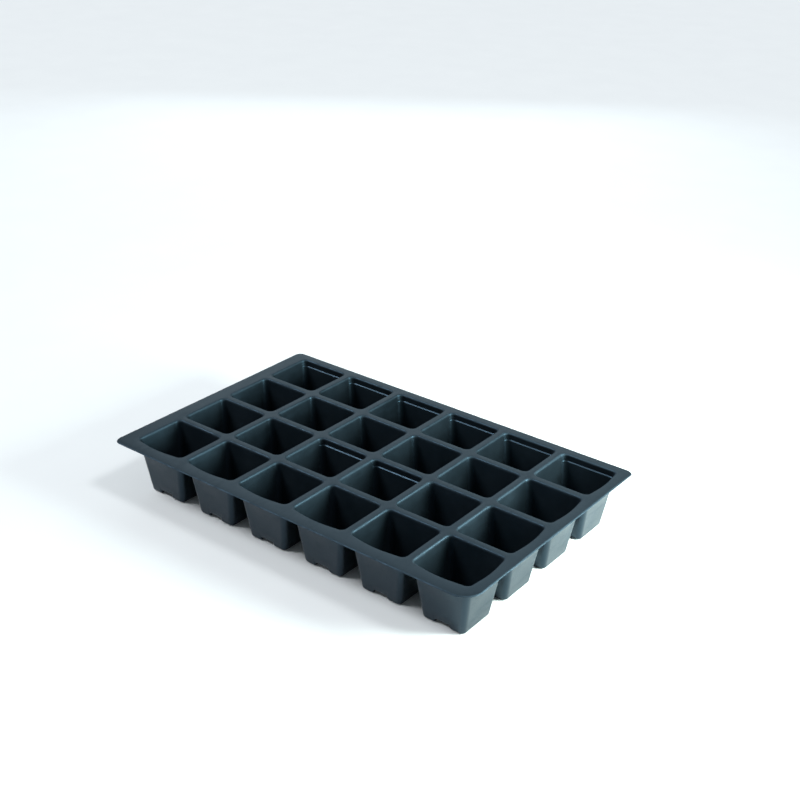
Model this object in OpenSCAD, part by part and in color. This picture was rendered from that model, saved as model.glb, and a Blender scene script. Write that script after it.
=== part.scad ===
// Plug tray for raising seedlings: one thin formed sheet with a flange all round,
// a flat grid of webs and a block of tapered square cells hanging below it.
// Units are millimetres. The feet stand on z = 0, and the origin is under the
// centre of the outline. X runs along the long side and Y along the short side.

/* [Cell grid] */
// Number of cells along the long side
cols = 6; // [3:1:8]
// Number of cells along the short side
rows = 4; // [2:1:6]
// Distance between cell centres along the long side
pitch_x = 57; // [54:0.5:64]
// Distance between cell centres along the short side
pitch_y = 54; // [51:0.5:62]
// Width of the flat web between two openings
web_w = 6.7; // [5:0.1:7]

/* [Flange] */
// Flange width outside the openings, left end
flange_left = 14.2; // [9:0.1:20]
// Flange width outside the openings, right end
flange_right = 10.8; // [9:0.1:20]
// Flange width outside the openings, front side
flange_front = 14.4; // [9:0.1:20]
// Flange width outside the openings, back side
flange_back = 9.2; // [9:0.1:20]
// Corner radius of the outline, front left
corner_front_left = 8; // [2:0.5:18]
// Corner radius of the outline, front right
corner_front_right = 16; // [2:0.5:18]
// Corner radius of the outline, back left
corner_back_left = 6.5; // [2:0.5:18]
// Corner radius of the outline, back right
corner_back_right = 6.5; // [2:0.5:18]

/* [Sheet] */
// Overall height, from the feet to the top of the webs
tray_h = 48.5; // [40:0.5:60]
// Thickness of the top sheet and flange
sheet_t = 0.8; // [0.6:0.1:1.2]
// Thickness of a cell's walls and floor, drawn thinner by forming
wall_t = 0.6; // [0.4:0.1:1]

/* [Cells] */
// Outside width of a cell's base along the long side
base_x = 37.3; // [33:0.1:44]
// Outside width of a cell's base along the short side
base_y = 35.1; // [32:0.1:43]
// Inside corner radius of a cell, from the opening to the base
cell_r = 4.5; // [2:0.1:5]
// Width of the rim round an opening, where the sheet turns down into the cell
rim_w = 1.2; // [1.1:0.1:1.8]
// Radius of the drain hole in the middle of the floor
drain_r = 4; // [2.5:0.5:6]

/* [Drain channel] */
// Width of the raised channel under a cell, at the feet
channel_w = 14; // [11:0.2:18]
// Height of the channel above the feet
channel_h = 3.2; // [2:0.1:5]
// How much narrower each side of the channel is at its top
channel_draft = 0.8; // [0.2:0.1:1.5]

/* [Stacking ledges] */
// Depth of a ledge below the top of the webs
ledge_depth = 6.2; // [4:0.1:9]
// Whether the whole back row has ledges
back_row_ledges = true;
// Whether the two middle cells of the second row have ledges
middle_ledges = true;

/* [Hidden] */
CURVE = 48;
OVER = 5;                                    // how far a cutting shape runs past what it cuts
HAIR = 0.0005;                               // makes a rounding cross its walls, not just touch them
LEDGE_BACK = 0.04;                           // a ledge's upright wall stands this far inside the opening
tray_w = cols * pitch_x - web_w + flange_left + flange_right;
tray_d = rows * pitch_y - web_w + flange_front + flange_back;
grid_x0 = -tray_w / 2 + flange_left - rim_w; // left edge of the rims of the first column
grid_x1 = tray_w / 2 - flange_right + rim_w;
grid_y0 = -tray_d / 2 + flange_front - rim_w; // front edge of the rims of the first row
grid_y1 = tray_d / 2 - flange_back + rim_w;
under_z = tray_h - sheet_t;                  // underside of the top sheet
open_x = (pitch_x - web_w) / 2;              // half width of an opening
open_y = (pitch_y - web_w) / 2;
rim_x = open_x + rim_w;                      // half width across a cell's rim
rim_y = open_y + rim_w;
slope_x = (open_x + wall_t - base_x / 2) / tray_h;
slope_y = (open_y + wall_t - base_y / 2) / tray_h;

function cell_x(c) = grid_x0 + rim_x + (c - 1) * pitch_x;
function cell_y(r) = grid_y0 + rim_y + (r - 1) * pitch_y;
function cell_name(r, c) = str("cell_r", r, "c", c);
function row_web_name(k) = str("row_web_", k);
function cross_webs_name(r) = str("cross_webs_", r);

// Half widths of a cell's outside (inset 0) or inside (inset wall_t) at height z
function half_x(z, inset) = base_x / 2 + z * slope_x - inset;
function half_y(z, inset) = base_y / 2 + z * slope_y - inset;

function is_middle(c) = c == floor((cols + 1) / 2) || c == ceil((cols + 1) / 2);
function has_ledge(r, c) =
    (back_row_ledges && r == rows) || (middle_ledges && r == 2 && is_middle(c));

// ---- top sheet ----

// What a rounded corner at the origin removes; the corner points along (sx, sy)
module corner_waste(x, y, sx, sy, r) {
    translate([x - sx * r, y - sy * r])
        difference() {
            translate([sx > 0 ? 0 : -r - OVER, sy > 0 ? 0 : -r - OVER])
                square(r + OVER);
            circle(r, $fn = CURVE);
        }
}

module outline_2d() {
    difference() {
        translate([-tray_w / 2, -tray_d / 2])
            square([tray_w, tray_d]);
        corner_waste(-tray_w / 2, -tray_d / 2, -1, -1, corner_front_left);
        corner_waste(tray_w / 2, -tray_d / 2, 1, -1, corner_front_right);
        corner_waste(-tray_w / 2, tray_d / 2, -1, 1, corner_back_left);
        corner_waste(tray_w / 2, tray_d / 2, 1, 1, corner_back_right);
    }
}

// Outline of a cell's rim, about the cell's centre
module rim_2d() {
    r = cell_r + rim_w;
    square([2 * rim_x, 2 * (rim_y - r)], center = true);
    square([2 * (rim_x - r), 2 * rim_y], center = true);
    for (sx = [-1, 1])
        for (sy = [-1, 1])
            translate([sx * (rim_x - r), sy * (rim_y - r)])
                circle(r, $fn = CURVE);
}

// The part of the sheet between x0 and x1, as deep as one row of cells
module row_band_2d(r, x0, x1) {
    difference() {
        translate([x0, cell_y(r) - rim_y])
            square([x1 - x0, 2 * rim_y]);
        for (c = [1:cols])
            translate([cell_x(c), cell_y(r)])
                rim_2d();
    }
}

// Lays a flat shape out as part of the top sheet
module sheet() {
    translate([0, 0, under_z])
        linear_extrude(sheet_t)
            children();
}

module flat_sheet() {
    color([0.24, 0.31, 0.35])
        sheet()
            children();
}

// Front and back flanges run the whole length and take in the outer corners
module long_flange(y0, y1) {
    flat_sheet()
        intersection() {
            outline_2d();
            translate([-tray_w / 2, y0])
                square([tray_w, y1 - y0]);
        }
}

module front_flange() { long_flange(-tray_d / 2, grid_y0); }

module back_flange() { long_flange(grid_y1, tray_d / 2); }

// End flanges fill in between them, up to the rims of the cells
module end_flange(x0, x1, band_x0, band_x1) {
    flat_sheet()
        intersection() {
            outline_2d();
            union() {
                translate([x0, grid_y0])
                    square([x1 - x0, grid_y1 - grid_y0]);
                for (r = [1:rows])
                    row_band_2d(r, band_x0, band_x1);
            }
        }
}

module left_flange() { end_flange(-tray_w / 2, grid_x0, -tray_w / 2, cell_x(1)); }

module right_flange() { end_flange(grid_x1, tray_w / 2, cell_x(cols), tray_w / 2); }

// Web between row k and row k + 1
module row_web(k) {
    flat_sheet()
        translate([grid_x0, cell_y(k) + rim_y])
            square([grid_x1 - grid_x0, web_w - 2 * rim_w]);
}

// The short webs between neighbouring cells of one row
module cross_webs(r) {
    flat_sheet()
        row_band_2d(r, cell_x(1), cell_x(cols));
}

// ---- cells ----

// What rounding leaves over along one slanted corner edge, from b to t, of a block whose
// walls lean outwards. The rounding is a true cylinder that touches both walls.
module edge_waste(b, t, r) {
    d = t - b;
    len = norm(d);
    lean = acos(d.z / len);
    turn = atan2(d.y, d.x);
    axis_x = [cos(lean) * cos(turn), cos(lean) * sin(turn), -sin(lean)];
    axis_y = [-sin(turn), cos(turn), 0];
    wall_a = [d.z, 0, -d.x] / norm([d.z, d.x]);
    wall_b = [0, d.z, -d.y] / norm([d.z, d.y]);
    n_a = [wall_a * axis_x, wall_a * axis_y];
    n_b = [wall_b * axis_x, wall_b * axis_y];
    centre = -(n_a + n_b) * r / (1 + wall_a * wall_b);
    reach = 2 * r;
    translate(b)
        rotate([0, lean, turn])
            translate([0, 0, -OVER])
                linear_extrude(len + 2 * OVER)
                    difference() {
                        polygon([centre, centre + reach * n_a,
                                 centre + reach * (n_a + n_b), centre + reach * n_b]);
                        translate(centre)
                            circle(r + HAIR, $fn = CURVE);
                    }
}

// Tapered block between heights z0 and z1, inset from the cell's outside
module tapered_block(z0, z1, inset, r) {
    x0 = half_x(z0, inset);
    x1 = half_x(z1, inset);
    y0 = half_y(z0, inset);
    y1 = half_y(z1, inset);
    difference() {
        intersection() {
            rotate([90, 0, 0])
                linear_extrude(2 * y1 + 2 * OVER, center = true)
                    polygon([[-x0, z0], [x0, z0], [x1, z1], [-x1, z1]]);
            rotate([90, 0, 90])
                linear_extrude(2 * x1 + 2 * OVER, center = true)
                    polygon([[-y0, z0], [y0, z0], [y1, z1], [-y1, z1]]);
        }
        for (mx = [0, 1])
            for (my = [0, 1])
                mirror([mx, 0, 0])
                    mirror([0, my, 0])
                        edge_waste([x0, y0, z0], [x1, y1, z1], r);
    }
}

// The channel's section, grown by g to give its inner surface, along the short side
module channel_block(g) {
    foot = channel_w / 2 + g;
    top = channel_w / 2 - channel_draft + g;
    rotate([90, 0, 0])
        linear_extrude(base_y + 4 * OVER, center = true)
            polygon([[-foot, -OVER], [foot, -OVER], [foot, 0],
                     [top, channel_h + g], [-top, channel_h + g], [-foot, 0]]);
}

// The upright stretch of the back wall above a ledge, grown by g to give its outside
module ledge_block(g, top_z) {
    w = 2 * (open_x - cell_r) + 2 * g;
    z0 = tray_h - ledge_depth - g;
    translate([-w / 2, 0, z0])
        cube([w, open_y - LEDGE_BACK + g, top_z - z0]);
}

module cell(r, c) {
    color([0.13, 0.17, 0.19])
        translate([cell_x(c), cell_y(r), 0])
            difference() {
                union() {
                    tapered_block(0, tray_h, 0, cell_r + wall_t);
                    sheet()
                        rim_2d();
                    if (has_ledge(r, c))
                        ledge_block(wall_t, tray_h);
                }
                channel_block(0);
                difference() {
                    tapered_block(wall_t, tray_h + 1, wall_t, cell_r);
                    channel_block(wall_t);
                }
                if (has_ledge(r, c))
                    ledge_block(0, tray_h + 1);
                cylinder(r = drain_r, h = 2 * channel_h + 2, $fn = CURVE);
            }
}

front_flange();
back_flange();
left_flange();
right_flange();
for (k = [1:rows - 1])
    row_web(k);
for (r = [1:rows])
    cross_webs(r);
for (r = [1:rows])
    for (c = [1:cols])
        cell(r, c);
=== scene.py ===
"""Plug tray: a thin black formed sheet, shown as one deck and 24 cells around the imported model.

Units are metres, in the part's own frame. The deck stands for the flanges and webs, and each
cell piece stands for the cell of the same name.
"""
from math import atan2, cos, hypot, pi, radians, sin, tan

import bmesh
import bpy
from mathutils import Matrix, Vector, noise
from mathutils.geometry import delaunay_2d_cdt


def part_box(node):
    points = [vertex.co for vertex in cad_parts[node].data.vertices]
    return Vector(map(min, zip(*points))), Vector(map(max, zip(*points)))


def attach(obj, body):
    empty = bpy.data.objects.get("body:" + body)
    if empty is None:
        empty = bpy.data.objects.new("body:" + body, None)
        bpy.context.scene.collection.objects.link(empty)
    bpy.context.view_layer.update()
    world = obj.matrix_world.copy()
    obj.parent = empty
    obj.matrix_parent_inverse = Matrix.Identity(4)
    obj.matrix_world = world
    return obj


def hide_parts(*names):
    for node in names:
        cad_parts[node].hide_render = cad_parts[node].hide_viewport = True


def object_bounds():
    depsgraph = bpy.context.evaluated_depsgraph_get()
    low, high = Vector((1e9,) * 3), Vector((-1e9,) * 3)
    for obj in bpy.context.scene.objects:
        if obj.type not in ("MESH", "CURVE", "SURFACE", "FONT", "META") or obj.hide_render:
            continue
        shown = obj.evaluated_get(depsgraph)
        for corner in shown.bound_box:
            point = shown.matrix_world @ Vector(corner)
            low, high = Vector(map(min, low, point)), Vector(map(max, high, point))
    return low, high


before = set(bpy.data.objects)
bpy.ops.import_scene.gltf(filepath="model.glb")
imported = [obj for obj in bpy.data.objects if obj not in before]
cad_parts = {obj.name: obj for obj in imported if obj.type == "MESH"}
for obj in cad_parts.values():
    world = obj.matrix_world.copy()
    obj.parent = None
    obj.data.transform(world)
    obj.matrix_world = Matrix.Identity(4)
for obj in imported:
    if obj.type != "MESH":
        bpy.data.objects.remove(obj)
cad_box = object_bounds()

MM = 0.001
TOP = cad_box[1].z
BODY = "root"

# The sheet, as in the CAD model
SHEET = 0.8 * MM            # thickness of the flanges and webs
WALL = 0.6 * MM             # thickness of a cell's walls and floor
RIM_W = 1.2 * MM            # a cell's own rim, inside the top sheet
CELL_R = 4.5 * MM           # a cell's upright corners, at the top
CHANNEL_W = 14.0 * MM       # the drain channel under a cell, from front to back
CHANNEL_H = 3.2 * MM
CHANNEL_DRAFT = 0.8 * MM    # how far each side of the channel leans in
DRAIN_R = 4.0 * MM
LEDGE_DEPTH = 6.2 * MM      # from the top down to a stacking ledge
CORNER_R = {"front_left": 8 * MM, "front_right": 16 * MM,      # corners of the flange's outline
            "back_right": 6.5 * MM, "back_left": 6.5 * MM}

# Shape that only the visible sheet has
LIP_R = 1.7 * MM            # where the top sheet turns down into a cell
SEAM_DROP = 2.4 * MM        # from the top down to where the deck piece ends and a cell piece begins
FLOOR_R = 2.0 * MM          # inside, between a wall and the floor
CORNER_NARROWS = 1.0 * MM   # how much a cell's upright corners tighten towards the floor
CHANNEL_TOP_R = 1.1 * MM
CHANNEL_FOOT_R = 0.9 * MM
FRONT_BELLY = 2.0 * MM      # how far the outer edge of an opening curves out beside the flange
RIGHT_BELLY = 1.6 * MM
BELLY_DEPTH = 26 * MM       # from the top down to where the outer wall is straight again
BELLY_CURVE = 1.2           # exponent of the curve along the edge, where 1 is a parabola
ROLL_R = 1.6 * MM           # the flange's outer edge turns down a little
ROLL_TURN = radians(58)
LEDGE_SPREAD = 0.64 * MM    # height over which a stacking ledge steps in
LEDGE_BELOW = 0.3 * MM      # how much of that height is below the ledge's own
LEVEL_BELOW = 2.0 * MM      # from the ledges' height down to where the rows of faces stop being level

# Unevenness of the formed sheet. A wave is a count per metre, a layer picks a slice of the noise.
SAG, SAG_WAVE, SAG_LAYER = 0.25 * MM, 9, 0.7            # slow waves of the whole top sheet
DROOP, DROOP_WAVE, DROOP_LAYER = 0.15 * MM, 16, 5.3     # the flange's loose outer band
DROOP_BAND = 14 * MM
BOW, BOW_SPREAD = 0.22 * MM, 0.25 * MM                  # a panel's mean bow, and its variation
BOW_WAVE, BOW_TURN, BOW_LAYER = 31, 2, 3.1

# Steps of the meshes
ARC_STEPS = 6               # a cell's upright corner
CHANNEL_ARC_STEPS = 3       # each rounding of the drain channel
FOOT_STEPS = 3              # the floor beside the channel
SIDE_STEPS = 2              # the floor in front of and behind the patch
LIP_STEPS = 6               # the rounding from the top sheet into a cell
FLOOR_STEPS = 5             # the rounding between a wall and the floor
WALL_STEPS = 7              # a wall without a ledge
LOW_WALL_STEPS = 5          # a wall below its ledge
LEDGE_RINGS_MM = (1.0, 0.5, 0.34, 0.18, 0.02, -0.14, -0.3, -0.5, -1.0)    # heights above a ledge
PATCH_STEPS = 8             # each side of the square patch of floor round the drain hole
PATCH_HALF = 5.5 * MM       # half side of that patch
EDGE_STEP = 0.5 * MM        # a narrow step beside a rounding keeps the flat wall looking flat
CORNER_STEPS = 12           # a corner of the flange's outline
ROLL_STEPS = 4              # the flange's turned-down edge
GRID = 3.6 * MM             # spacing of the points on the flange and webs
GRID_ROW = 0.87             # distance between rows of those points, in spacings
OUTLINE_STEP = 1.2 * GRID   # about the length of a step along the straight parts of the outline
EDGE_GAP = 0.5 * GRID       # least distance from the points to the flange's turned-down edge
LIP_GAP = 0.35 * GRID       # and to the lips of the openings
MERGE = 1e-7                # points of the flat sheet that are closer than this become one
SHARP = radians(55)         # an edge with a larger angle than this is shaded as a sharp one


# ---- camera: the photograph's viewing angle ----

def aim_camera():
    azimuth, elevation, roll = radians(36.94), radians(26.46), radians(1.51)
    distance = 1.1528
    focal_mm, sensor_mm = 58.33, 36.0
    target = Vector((-0.0440, 0.0968, TOP))
    back = Vector((sin(azimuth) * cos(elevation), -cos(azimuth) * cos(elevation), sin(elevation)))
    right = Vector((0, 0, 1)).cross(back).normalized()
    up = back.cross(right)
    rolled_right = right * cos(roll) + up * sin(roll)
    rolled_up = up * cos(roll) - right * sin(roll)
    turn = Matrix((rolled_right, rolled_up, back)).transposed().to_4x4()
    data = bpy.data.cameras.new("camera")
    data.lens = focal_mm
    data.sensor_width = sensor_mm
    data.clip_start = 0.01
    data.clip_end = 50
    camera = bpy.data.objects.new("camera", data)
    camera.matrix_world = Matrix.Translation(target + back * distance) @ turn
    bpy.context.collection.objects.link(camera)
    bpy.context.scene.camera = camera


# ---- the cells, read from the frame ----

CELL_NAMES = sorted(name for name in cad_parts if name.startswith("cell_"))
DECK_NODES = sorted(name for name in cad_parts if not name.startswith("cell_"))
# the cells with a stacking ledge in the back wall
LEDGED = {name for name in CELL_NAMES if name.startswith("cell_r4")} | {"cell_r2c3", "cell_r2c4"}


class Cell:
    """A cell's place and the half widths of its inside, which lean outwards with height."""

    def __init__(self, name):
        lo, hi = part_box(name)
        self.name = name
        self.x = (lo.x + hi.x) / 2
        self.y = (lo.y + hi.y) / 2
        self.open_x = (hi.x - lo.x) / 2 - RIM_W
        self.open_y = (hi.y - lo.y) / 2 - RIM_W
        feet = [v.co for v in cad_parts[name].data.vertices if v.co.z < 0.01 * MM]
        self.base_x = max(co.x for co in feet) - self.x - WALL
        self.base_y = max(co.y for co in feet) - self.y - WALL
        self.ledge = name in LEDGED
        self.front_belly = FRONT_BELLY if name.startswith("cell_r1") else 0.0
        self.right_belly = RIGHT_BELLY if name.endswith("c6") else 0.0

    def half(self, z):
        """Half widths of the inside at height z."""
        t = z / TOP
        return (self.base_x + (self.open_x - self.base_x) * t,
                self.base_y + (self.open_y - self.base_y) * t)


CELLS = [Cell(name) for name in CELL_NAMES]
LEAN = atan2(CELLS[0].open_y - CELLS[0].base_y, TOP)


# ---- small shape helpers ----

def smooth_step(t):
    """Rises smoothly from 0 at t = 0 to 1 at t = 1, and is level outside that."""
    t = min(max(t, 0.0), 1.0)
    return t * t * (3 - 2 * t)


def spread(a, b, steps):
    """steps + 1 even values from a to b."""
    return [a + (b - a) * k / steps for k in range(steps + 1)]


def rounded(points, radii, steps):
    """A polyline in 2-D with its inner corners rounded by true arcs."""
    out = [points[0]]
    for k in range(1, len(points) - 1):
        here = Vector(points[k])
        before = (Vector(points[k - 1]) - here).normalized()
        after = (Vector(points[k + 1]) - here).normalized()
        half_angle = before.angle(after) / 2
        reach = radii[k - 1] / tan(half_angle)
        centre = here + (before + after).normalized() * (radii[k - 1] / sin(half_angle))
        start = here + before * reach - centre
        end = here + after * reach - centre
        turn = start.angle_signed(end)
        for s in range(steps + 1):
            out.append(tuple(centre + Matrix.Rotation(-turn * s / steps, 2) @ start))
    out.append(points[-1])
    return out


# ---- the loop that every ring of a cell and its opening follows ----

class Stop:
    """A point of a rounded rectangle: x = fx (hx - r) + r nx, and the same for y."""

    def __init__(self, fx, fy, nx, ny):
        self.fx, self.fy, self.nx, self.ny = fx, fy, nx, ny

    def at(self, hx, hy, r):
        """The point's (x, y) on a rectangle of half widths hx and hy with corners of radius r."""
        return self.fx * (hx - r) + r * self.nx, self.fy * (hy - r) + r * self.ny


def corner_r(z):
    """Radius of a cell's upright corners at height z."""
    return CELL_R - CORNER_NARROWS * (1 - z / TOP)


def belly(cell, stop, z):
    """How far the outer walls of the outer cells curve out beside the flange, as (x, y)."""
    near_top = smooth_step((z - TOP + BELLY_DEPTH) / BELLY_DEPTH)
    out_x = cell.right_belly * (1 - stop.fy ** 2) ** BELLY_CURVE if stop.nx == 1 else 0.0
    out_y = cell.front_belly * (1 - stop.fx ** 2) ** BELLY_CURVE if stop.ny == -1 else 0.0
    return out_x * near_top, -out_y * near_top


def channel_profile(outer):
    """Half of the floor's section across the channel, from the middle out to x = outer."""
    roof = CHANNEL_H + WALL
    points = [(0, roof), (CHANNEL_W / 2 - CHANNEL_DRAFT + WALL, roof),
              (CHANNEL_W / 2 + WALL, WALL), (outer, WALL)]
    return rounded(points, (CHANNEL_TOP_R, CHANNEL_FOOT_R), CHANNEL_ARC_STEPS)


def floor_height(x, outer):
    """Height of the inner floor at x, on the channel or beside it."""
    points = channel_profile(outer)
    for (x0, z0), (x1, z1) in zip(points, points[1:]):
        if x0 <= abs(x) <= x1 and x1 > x0:
            return z0 + (z1 - z0) * (abs(x) - x0) / (x1 - x0)
    return WALL


def make_chain(cell):
    """Stops along the front of a cell, from its left corner's start to its right corner's end."""
    straight = cell.half(0)[0] - corner_r(0)
    half = [x for x, _ in channel_profile(straight)[1:-1]]
    foot = spread(half[-1], straight - EDGE_STEP, FOOT_STEPS)[1:] + [straight]
    patch = spread(0, PATCH_HALF, PATCH_STEPS // 2)
    right = patch + half + foot
    stations = [-x for x in reversed(right[1:])] + right
    arc = [radians(90 * k / ARC_STEPS) for k in range(ARC_STEPS)]
    left = [Stop(-1, -1, -cos(a), -sin(a)) for a in arc]
    middle = [Stop(x / straight, -1, 0, -1) for x in stations]
    return left + middle + [Stop(1, -1, -s.nx, s.ny) for s in reversed(left)]


def make_sides(cell):
    """Fractions along the straight part of a side, without its ends."""
    straight = cell.half(0)[1] - corner_r(0)
    outer = spread(PATCH_HALF, straight - EDGE_STEP, SIDE_STEPS)
    patch = spread(0, PATCH_HALF, PATCH_STEPS // 2)[:-1]
    right = patch + outer
    return [y / straight for y in [-y for y in reversed(right[1:])] + right]


CHAIN = make_chain(CELLS[0])
SIDES = make_sides(CELLS[0])
LOOP = (CHAIN
        + [Stop(1, f, 1, 0) for f in SIDES]
        + [Stop(s.fx, -s.fy, s.nx, -s.ny) for s in reversed(CHAIN)]
        + [Stop(-1, f, -1, 0) for f in reversed(SIDES)])


# ---- the formed sheet is not quite flat or straight ----

def sag(x, y):
    """How far the top sheet hangs below its plane at (x, y): a slow wave, and a loose flange."""
    slow = 0.5 + 0.5 * noise.noise(Vector((x * SAG_WAVE, y * SAG_WAVE, SAG_LAYER)))
    lo, hi = cad_box
    inside = min(x - lo.x, hi.x - x, y - lo.y, hi.y - y)
    edge = smooth_step(1 - inside / DROOP_BAND)
    loose = 0.5 + 0.5 * noise.noise(Vector((x * DROOP_WAVE, y * DROOP_WAVE, DROOP_LAYER)))
    return SAG * slow + DROOP * edge * loose


def settle(co):
    """Moves a point of the perfect sheet to its place on the real one. The feet stay level."""
    return Vector((co.x, co.y, co.z - sag(co.x, co.y) * smooth_step(co.z / TOP)))


def bow(cell, stop, z):
    """How far a wall bows in (+) or out at one point: panels of thin sheet are never flat."""
    if stop.nx and stop.ny:
        return 0.0
    t = min(max(z / TOP, 0.0), 1.0)
    along = stop.fx if stop.ny else stop.fy
    panel = (1 - along * along) * 4 * t * (1 - t)
    seed_x = cell.x * BOW_WAVE + stop.nx * BOW_TURN
    seed_y = cell.y * BOW_WAVE + stop.ny * BOW_TURN
    return panel * (BOW + BOW_SPREAD * noise.noise(Vector((seed_x, seed_y, BOW_LAYER))))


# ---- mesh helpers ----

def strip(bm, ring_a, ring_b):
    """Faces between two rings of the same length."""
    n = len(ring_a)
    for k in range(n):
        j = (k + 1) % n
        bm.faces.new((ring_a[k], ring_a[j], ring_b[j], ring_b[k]))


def face_up(bm):
    """Turns the sheet so that its normals look up and into the cells."""
    bmesh.ops.recalc_face_normals(bm, faces=bm.faces)
    bm.normal_update()
    if sum(f.normal.z * f.calc_area() for f in bm.faces) < 0:
        bmesh.ops.reverse_faces(bm, faces=bm.faces)


def thicken(bm, thickness):
    """Makes the sheet in bm a closed solid by adding its other side behind it."""
    bm.normal_update()
    sheet_faces = list(bm.faces)
    rim = [e for e in bm.edges if len(e.link_faces) == 1]
    behind = {v: bm.verts.new(v.co - v.normal * thickness[v]) for v in list(bm.verts)}
    for face in sheet_faces:
        bm.faces.new([behind[v] for v in reversed(face.verts)])
    for edge in rim:
        loop = edge.link_loops[0]
        a, b = loop.vert, loop.link_loop_next.vert
        bm.faces.new((b, a, behind[a], behind[b]))
    bm.normal_update()
    for edge in bm.edges:
        edge.smooth = edge.calc_face_angle(0) < SHARP


def new_sheet():
    """An empty mesh whose vertices say how scuffed the sheet is, which also sets where a lighter
    colour is painted on as a highlight.
    """
    bm = bmesh.new()
    bm.verts.layers.float.new("wear_and_highlight")
    return bm


def finish_piece(bm, name, nodes, wear_and_highlight):
    """Writes bm to a new object that rides on the body and stands for its CAD nodes."""
    # these marks give the edges scuffing and also a lighter painted highlight in the material
    layer = bm.verts.layers.float["wear_and_highlight"]
    for vert, value in wear_and_highlight.items():
        vert[layer] = value
    for vert in bm.verts:
        vert.co = settle(vert.co)
    for face in bm.faces:
        face.smooth = True
    mesh = bpy.data.meshes.new(name)
    bm.to_mesh(mesh)
    bm.free()
    piece = bpy.data.objects.new(name, mesh)
    bpy.context.collection.objects.link(piece)
    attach(piece, BODY)
    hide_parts(*nodes)
    return piece


# ---- a cell ----

def wall_heights(cell, low):
    """Heights of a wall's rings, from the seam down to the start of the floor's rounding."""
    seam = TOP - SEAM_DROP
    if not cell.ledge:
        return spread(seam, low, WALL_STEPS)
    ledge = TOP - LEDGE_DEPTH
    near = [ledge + d * MM for d in LEDGE_RINGS_MM]
    return [seam, (seam + near[0]) / 2] + near + spread(near[-1], low, LOW_WALL_STEPS)[1:]


def ledge_shift(cell, stop, z, hy):
    """How far the back wall stands out above its stacking ledge."""
    if not cell.ledge or stop.ny <= 0:
        return 0.0
    ledge = TOP - LEDGE_DEPTH
    above = smooth_step((z - ledge + LEDGE_BELOW) / LEDGE_SPREAD)
    return above * (cell.open_y - hy) * stop.ny


def wall_point(cell, stop, z):
    """A point of the inside of a cell's wall."""
    hx, hy = cell.half(z)
    x, y = stop.at(hx, hy, corner_r(z))
    inward = bow(cell, stop, z)
    out_x, out_y = belly(cell, stop, z)
    y += ledge_shift(cell, stop, z, hy)
    return Vector((cell.x + x - stop.nx * inward + out_x, cell.y + y - stop.ny * inward + out_y, z))


def floor_point(cell, stop, step):
    """A point of the rounding between the wall and the floor; step FLOOR_STEPS is on the floor."""
    straight = cell.half(0)[0] - corner_r(0)
    base = WALL if stop.nx else floor_height(stop.fx * straight, straight)
    turn = LEAN + (pi / 2 - LEAN) * step / FLOOR_STEPS
    contact = base + FLOOR_R * (1 - sin(LEAN))
    inset = FLOOR_R * (cos(LEAN) - cos(turn))
    hx, hy = cell.half(contact)
    x, y = stop.at(hx - inset, hy - inset, corner_r(contact) - inset)
    if not stop.nx:
        x = stop.fx * straight
    return Vector((cell.x + x, cell.y + y, base + FLOOR_R * (1 - sin(turn))))


def floor_lines(bm, ring):
    """The floor as lines of vertices from front to back, one for each stop of the chain."""
    m, n = len(CHAIN), len(SIDES)
    front = ring[:m]
    right = ring[m:m + n]
    back = list(reversed(ring[m + n:2 * m + n]))
    left = list(reversed(ring[2 * m + n:]))
    lines = []
    for k in range(m):
        if k == 0:
            inner = left
        elif k == m - 1:
            inner = right
        else:
            inner = [bm.verts.new((front[k].co.x, v.co.y, front[k].co.z)) for v in right]
        lines.append([front[k]] + inner + [back[k]])
    return lines


def floor_faces(bm, cell, lines):
    """Faces of the floor, with the round drain hole set into a square patch of it."""
    m, n = len(lines), len(lines[0])
    i0, j0 = (m - 1 - PATCH_STEPS) // 2, (n - 1 - PATCH_STEPS) // 2
    i1, j1 = i0 + PATCH_STEPS, j0 + PATCH_STEPS
    for i in range(m - 1):
        for j in range(n - 1):
            if not (i0 <= i < i1 and j0 <= j < j1):
                bm.faces.new((lines[i][j], lines[i + 1][j], lines[i + 1][j + 1], lines[i][j + 1]))
    patch = ([lines[i][j0] for i in range(i0, i1)] + [lines[i1][j] for j in range(j0, j1)]
             + [lines[i][j1] for i in range(i1, i0, -1)] + [lines[i0][j] for j in range(j1, j0, -1)])
    spare = [lines[i][j] for i in range(i0 + 1, i1) for j in range(j0 + 1, j1)]
    roof = patch[0].co.z
    hole = []
    for vert in patch:
        angle = atan2(vert.co.y - cell.y, vert.co.x - cell.x)
        place = (cell.x + DRAIN_R * cos(angle), cell.y + DRAIN_R * sin(angle), roof)
        hole.append(bm.verts.new(place))
    strip(bm, patch, hole)
    for vert in spare:
        bm.verts.remove(vert)


def raise_over_channel(cell, stop, z):
    """Height of a wall ring, which rises a little over the channel so that the rows stay even."""
    level_from = TOP - LEDGE_DEPTH - LEVEL_BELOW
    if stop.nx or z >= level_from:
        return z
    straight = cell.half(0)[0] - corner_r(0)
    lift = floor_height(stop.fx * straight, straight) - WALL
    return z + lift * (1 - z / level_from)


def make_cell(cell):
    """The piece for one cell, from its seam with the deck down to its feet."""
    bm = new_sheet()
    low = WALL + FLOOR_R * (1 - sin(LEAN))
    rings = []
    for z in wall_heights(cell, low)[:-1]:
        rings.append([bm.verts.new(wall_point(cell, stop, raise_over_channel(cell, stop, z)))
                      for stop in LOOP])
    for step in range(FLOOR_STEPS + 1):
        rings.append([bm.verts.new(floor_point(cell, stop, step)) for stop in LOOP])
    for above, below in zip(rings, rings[1:]):
        strip(bm, below, above)
    floor_faces(bm, cell, floor_lines(bm, rings[-1]))
    face_up(bm)
    thicken(bm, {v: WALL for v in bm.verts})
    return finish_piece(bm, cell.name.replace("cell", "tray_cell"), [cell.name], {})


# ---- the deck: flanges, webs and the lips of the openings ----

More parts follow.
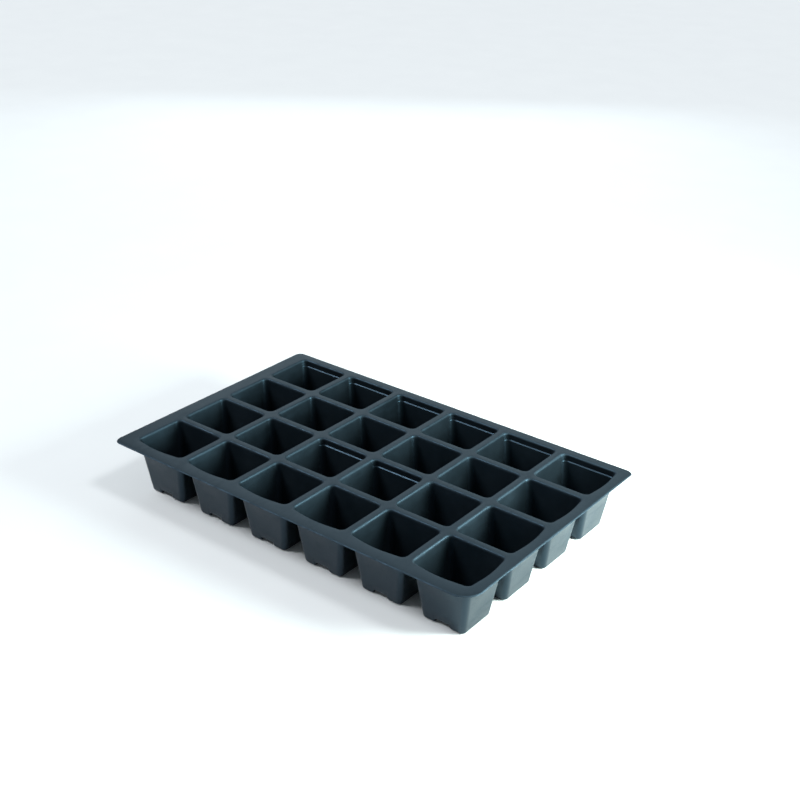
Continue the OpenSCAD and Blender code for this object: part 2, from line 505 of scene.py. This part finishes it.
def outline_points():
    """The flange's outline before its edge turns down, as (x, y, outward x, outward y)."""
    lo, hi = cad_box
    inset = ROLL_R * sin(ROLL_TURN)
    x0, x1, y0, y1 = lo.x + inset, hi.x - inset, lo.y + inset, hi.y - inset
    corners = ((x1, y0, 1, -1, "front_right", -90), (x1, y1, 1, 1, "back_right", 0),
               (x0, y1, -1, 1, "back_left", 90), (x0, y0, -1, -1, "front_left", 180))
    points = []
    for x, y, sx, sy, name, start in corners:
        r = CORNER_R[name] - inset
        for k in range(CORNER_STEPS + 1):
            a = radians(start + 90 * k / CORNER_STEPS)
            points.append((x - sx * r + r * cos(a), y - sy * r + r * sin(a), cos(a), sin(a)))
    out = []
    for here, after in zip(points, points[1:] + points[:1]):
        length = hypot(after[0] - here[0], after[1] - here[1])
        steps = max(1, round(length / OUTLINE_STEP))
        for k in range(steps):
            t = k / steps
            out.append(tuple(here[i] + (after[i] - here[i]) * t for i in range(4)))
    return out


def in_opening(x, y, margin):
    """Whether (x, y) is in an opening or within the margin of one."""
    for cell in CELLS:
        hx, hy, r = cell.open_x + margin, cell.open_y + margin, CELL_R + margin
        dx = max(cell.x - x, x - cell.x - cell.right_belly)
        dy = max(y - cell.y, cell.y - y - cell.front_belly)
        if dx < hx and dy < hy and (dx < hx - r or dy < hy - r or hypot(dx - hx + r, dy - hy + r) < r):
            return True
    return False


def flat_points():
    """Points over the flange and webs that let the flat sheet follow its slow waves."""
    lo, hi = cad_box
    inset = ROLL_R + EDGE_GAP
    large_r = CORNER_R["front_right"]
    centre_x, centre_y = hi.x - large_r, lo.y + large_r
    nx = round((hi.x - lo.x) / GRID)
    ny = round((hi.y - lo.y) / (GRID * GRID_ROW))
    found = []
    for j in range(1, ny):
        y = lo.y + (hi.y - lo.y) * j / ny
        for i in range(nx):
            x = lo.x + (hi.x - lo.x) * (i + 0.5 * (j % 2)) / nx
            near_edge = min(x - lo.x, hi.x - x, y - lo.y, hi.y - y) < inset
            in_corner = x > centre_x and y < centre_y
            past_arc = in_corner and hypot(x - centre_x, y - centre_y) > large_r - inset
            if not (near_edge or past_arc or in_opening(x, y, LIP_R + LIP_GAP)):
                found.append((x, y))
    return found


def lip_places(cell, angle):
    """One ring of the rounding into a cell, where the sheet's normal is at this angle above
    the horizontal, as a list of (x, y, z)."""
    contact = TOP - LIP_R * (1 - sin(LEAN))
    hx, hy = cell.half(contact)
    out = LIP_R * (cos(LEAN) - cos(angle))
    z = TOP - LIP_R * (1 - sin(angle))
    places = []
    for stop in LOOP:
        x, y = stop.at(hx + out, hy + out, corner_r(contact) + out)
        out_x, out_y = belly(cell, stop, TOP)
        places.append((cell.x + x + out_x, cell.y + y + out_y, z))
    return places


def loop_edges(first, count):
    """Pairs of numbers that join count points into a loop, where first is the first one's."""
    return [(first + k, first + (k + 1) % count) for k in range(count)]


def make_flat(bm, rim):
    """The flat sheet between the outline and the openings. Returns the vertices of the outline,
    and a list of those of each cell's opening."""
    coords = [Vector(place[:2]) for place in rim]
    edges = loop_edges(0, len(rim))
    owner = [None] * len(rim)
    for cell in CELLS:
        edges += loop_edges(len(coords), len(LOOP))
        coords += [Vector(place[:2]) for place in lip_places(cell, pi / 2)]
        owner += [cell] * len(LOOP)
    inner = flat_points()
    coords += [Vector(place) for place in inner]
    owner += [None] * len(inner)
    verts, _, faces, origin, _, _ = delaunay_2d_cdt(coords, edges, [], 0, MERGE)
    made = [bm.verts.new((v.x, v.y, TOP)) for v in verts]
    new_of = {old: made[k] for k, olds in enumerate(origin) for old in olds}
    owner_of = {new_of[k]: owner[k] for k in range(len(owner))}
    for face in faces:
        owners = {owner_of[made[k]] for k in face}
        if len(owners) > 1 or None in owners:
            bm.faces.new([made[k] for k in face])
    outline = [new_of[k] for k in range(len(rim))]
    firsts = [len(rim) + number * len(LOOP) for number in range(len(CELLS))]
    return outline, [[new_of[first + k] for k in range(len(LOOP))] for first in firsts]


def turn_down_edge(bm, rim, outline):
    """Adds the flange's turned-down edge and returns its vertices."""
    added = []
    above = outline
    for step in range(1, ROLL_STEPS + 1):
        turn = ROLL_TURN * step / ROLL_STEPS
        out, z = ROLL_R * sin(turn), TOP - ROLL_R * (1 - cos(turn))
        below = [bm.verts.new((x + out * nx, y + out * ny, z)) for x, y, nx, ny in rim]
        strip(bm, above, below)
        added += below
        above = below
    return added


def turn_into_cell(bm, cell, opening, wear_and_highlight, thin):
    """Adds a lip from the opening down to the seam with the cell piece. Notes how rubbed its
    vertices are, half as much at its lower end, and how far the sheet has thinned to WALL. The
    same marks set a painted highlight along the lip."""
    above = opening
    for step in range(1, LIP_STEPS + 1):
        done = step / LIP_STEPS
        below = [bm.verts.new(place) for place in lip_places(cell, pi / 2 + (LEAN - pi / 2) * done)]
        strip(bm, above, below)
        # marks the lip as rubbed, which also paints a highlight along it
        wear_and_highlight.update({v: 1.0 - 0.5 * done for v in below})
        thin.update({v: done for v in below})
        above = below
    seam = [bm.verts.new(wall_point(cell, stop, TOP - SEAM_DROP)) for stop in LOOP]
    thin.update({v: 1.0 for v in seam})
    strip(bm, above, seam)


def make_deck():
    """The piece for the flanges and webs, with the lips of all openings."""
    bm = new_sheet()
    rim = outline_points()
    outline, openings = make_flat(bm, rim)
    # the turned-down edge is marked as rubbed, which also paints a highlight along it
    wear_and_highlight = {v: 1.0 for v in turn_down_edge(bm, rim, outline)}
    thin = {}
    for cell, opening in zip(CELLS, openings):
        turn_into_cell(bm, cell, opening, wear_and_highlight, thin)
    face_up(bm)
    thicken(bm, {v: SHEET + (WALL - SHEET) * thin.get(v, 0.0) for v in bm.verts})
    return finish_piece(bm, "tray_deck", DECK_NODES, wear_and_highlight)


# ---- materials ----

class Nodes:
    """A short way to add nodes to a material and link them. Noise scales are waves per metre."""

    def __init__(self, name):
        self.material = bpy.data.materials.new(name)
        self.material.use_nodes = True
        self.tree = self.material.node_tree
        self.shader = self.tree.nodes["Principled BSDF"]
        self.place = self.add("ShaderNodeTexCoord").outputs["Object"]

    def add(self, kind, **values):
        made = self.tree.nodes.new(kind)
        for key, value in values.items():
            if key in made.inputs:
                made.inputs[key].default_value = value
            else:
                setattr(made, key, value)
        return made

    def link(self, a, b):
        self.tree.links.new(a, b)

    def noise(self, scale, detail, stretch=(1, 1, 1), roughness=0.5):
        mapping = self.add("ShaderNodeMapping")
        mapping.inputs["Scale"].default_value = stretch
        self.link(self.place, mapping.inputs["Vector"])
        made = self.add("ShaderNodeTexNoise", Scale=scale, Detail=detail, Roughness=roughness)
        self.link(mapping.outputs["Vector"], made.inputs["Vector"])
        return made.outputs["Fac"]

    def remap(self, value, low, high, new_low, new_high):
        made = self.add("ShaderNodeMapRange")
        for key, number in zip(("From Min", "From Max", "To Min", "To Max"),
                               (low, high, new_low, new_high)):
            made.inputs[key].default_value = number
        self.link(value, made.inputs["Value"])
        return made.outputs["Result"]

    def math(self, operation, a, b):
        made = self.add("ShaderNodeMath", operation=operation)
        self.link(a, made.inputs[0])
        self.link(b, made.inputs[1])
        return made.outputs[0]

    def mix(self, factor, a, b):
        """Mixes two colours, each a tuple or another node's output."""
        made = self.add("ShaderNodeMix", data_type="RGBA")
        self.link(factor, made.inputs[0])
        for socket, value in zip(made.inputs[6:8], (a, b)):
            if isinstance(value, tuple):
                socket.default_value = value
            else:
                self.link(value, socket)
        return made.outputs[2]

    def bump(self, height, strength, distance, before=None):
        made = self.add("ShaderNodeBump", Strength=strength, Distance=distance)
        self.link(height, made.inputs["Height"])
        if before is not None:
            self.link(before, made.inputs["Normal"])
        return made.outputs["Normal"]


def formed_plastic(name, draw_lines):
    """Satin black polystyrene: cloudy colour, uneven gloss, fine grain, soft orange peel, and
    the faint upright lines that drawing the sheet down leaves on a cell's walls."""
    n = Nodes(name)
    cloud = n.noise(38, detail=4.0)
    fine = n.noise(900, detail=2.0)
    peel = n.noise(210, detail=2.0, roughness=0.4)
    lines = n.noise(330, detail=2.0, stretch=(1, 1, 0.05))
    scuffs = n.noise(120, detail=5.0, stretch=(1, 0.22, 1), roughness=0.7)
    # marks of the rubbed edges, which carry both scuffing and a painted highlight
    wear_and_highlight = n.add("ShaderNodeAttribute", attribute_name="wear_and_highlight").outputs["Fac"]

    dark = (0.0048, 0.0072, 0.0092, 1)
    light = (0.0080, 0.0110, 0.0135, 1)
    # lighter colour of the rubbed edges: partly real scuffing, partly a painted highlight along the
    # lips and the flange's turned-down edge
    scuffed_and_highlit = (0.032, 0.042, 0.050, 1)
    # mask of the rubbed edges broken up by the scuffs: it paints the edge colour lighter as a
    # highlight and also roughens the gloss
    worn_and_highlit = n.math("MULTIPLY", wear_and_highlight, n.remap(scuffs, 0.40, 0.72, 0.15, 0.5))
    tone = n.mix(n.remap(cloud, 0.3, 0.7, 0, 1), dark, light)
    n.link(n.mix(worn_and_highlit, tone, scuffed_and_highlit), n.shader.inputs["Base Color"])

    gloss = n.remap(cloud, 0.25, 0.75, 0.32, 0.42)
    gloss = n.math("ADD", gloss, n.remap(scuffs, 0.5, 0.75, 0.0, 0.12))
    gloss = n.math("ADD", gloss, n.remap(fine, 0.3, 0.7, -0.03, 0.03))
    gloss = n.math("ADD", gloss, worn_and_highlit)
    n.link(gloss, n.shader.inputs["Roughness"])

    normal = n.bump(peel, 0.22, 0.08 * MM)
    if draw_lines:
        normal = n.bump(lines, 0.35, 0.10 * MM, normal)
    normal = n.bump(fine, 0.12, 0.02 * MM, normal)
    n.link(normal, n.shader.inputs["Normal"])
    n.shader.inputs["IOR"].default_value = 1.52
    n.shader.inputs["Specular IOR Level"].default_value = 0.5
    n.shader.inputs["Specular Tint"].default_value = (0.42, 0.72, 1.0, 1)
    return n.material


# ---- floor and light ----

def make_floor():
    """A plain pale floor, just under the feet."""
    half_side, squares, gap = 30.0, 24, 0.05 * MM
    mesh = bpy.data.meshes.new("floor")
    bm = bmesh.new()
    bmesh.ops.create_grid(bm, x_segments=squares, y_segments=squares, size=half_side)
    bm.to_mesh(mesh)
    bm.free()
    floor = bpy.data.objects.new("floor", mesh)
    floor.location.z = -gap
    bpy.context.collection.objects.link(floor)
    n = Nodes("pale_floor")
    tone = n.mix(n.noise(14, detail=3.0), (0.87, 0.86, 0.845, 1), (0.91, 0.90, 0.88, 1))
    n.link(tone, n.shader.inputs["Base Color"])
    n.shader.inputs["Roughness"].default_value = 0.9
    mesh.materials.append(n.material)


def area_light(name, place, aim, size, power, colour):
    data = bpy.data.lights.new(name, "AREA")
    data.shape = "RECTANGLE"
    data.size, data.size_y = size
    data.energy = power
    data.color = colour
    light = bpy.data.objects.new(name, data)
    light.location = place
    light.rotation_euler = (aim - place).to_track_quat("-Z", "Y").to_euler()
    bpy.context.collection.objects.link(light)


def sun(name, towards, strength, angle, colour):
    """A far light that stands in the direction towards, and is angle degrees across."""
    data = bpy.data.lights.new(name, "SUN")
    data.energy = strength
    data.angle = radians(angle)
    data.color = colour
    light = bpy.data.objects.new(name, data)
    light.rotation_euler = Vector(towards).to_track_quat("Z", "Y").to_euler()
    bpy.context.collection.objects.link(light)


def light_studio():
    """Soft daylight with one broad light behind the tray and one beside its right end."""
    scene = bpy.context.scene
    scene.view_settings.view_transform = "Standard"
    world = bpy.data.worlds.new("studio")
    world.use_nodes = True
    background = world.node_tree.nodes["Background"]
    background.inputs["Color"].default_value = (0.80, 0.92, 1.0, 1)
    background.inputs["Strength"].default_value = 0.26
    scene.world = world
    middle = (cad_box[0] + cad_box[1]) / 2
    ground = Vector((middle.x, middle.y, 0))
    area_light("side", place=ground + Vector((0.52, 0.16, 0.10)), aim=ground + Vector((0.25, 0.11, 0)),
               size=(0.20, 0.50), power=13.5, colour=(0.82, 1.0, 0.96))
    area_light("back", place=middle + Vector((-0.70, 0.93, 0.58)), aim=middle,
               size=(1.0, 1.0), power=2.3, colour=(0.76, 0.93, 1.0))
    daylight = (0.90, 0.95, 1.0)
    sun("sky", towards=(-0.54, -0.35, 0.75), strength=2.5, angle=20, colour=daylight)
    sun("high", towards=(0.52, 0.12, 0.84), strength=0.7, angle=12, colour=daylight)


# ---- build ----

aim_camera()
light_studio()
make_floor()
deck_plastic = formed_plastic("formed_plastic_deck", draw_lines=False)
cell_plastic = formed_plastic("formed_plastic_cell", draw_lines=True)
make_deck().data.materials.append(deck_plastic)
for cell in CELLS:
    make_cell(cell).data.materials.append(cell_plastic)
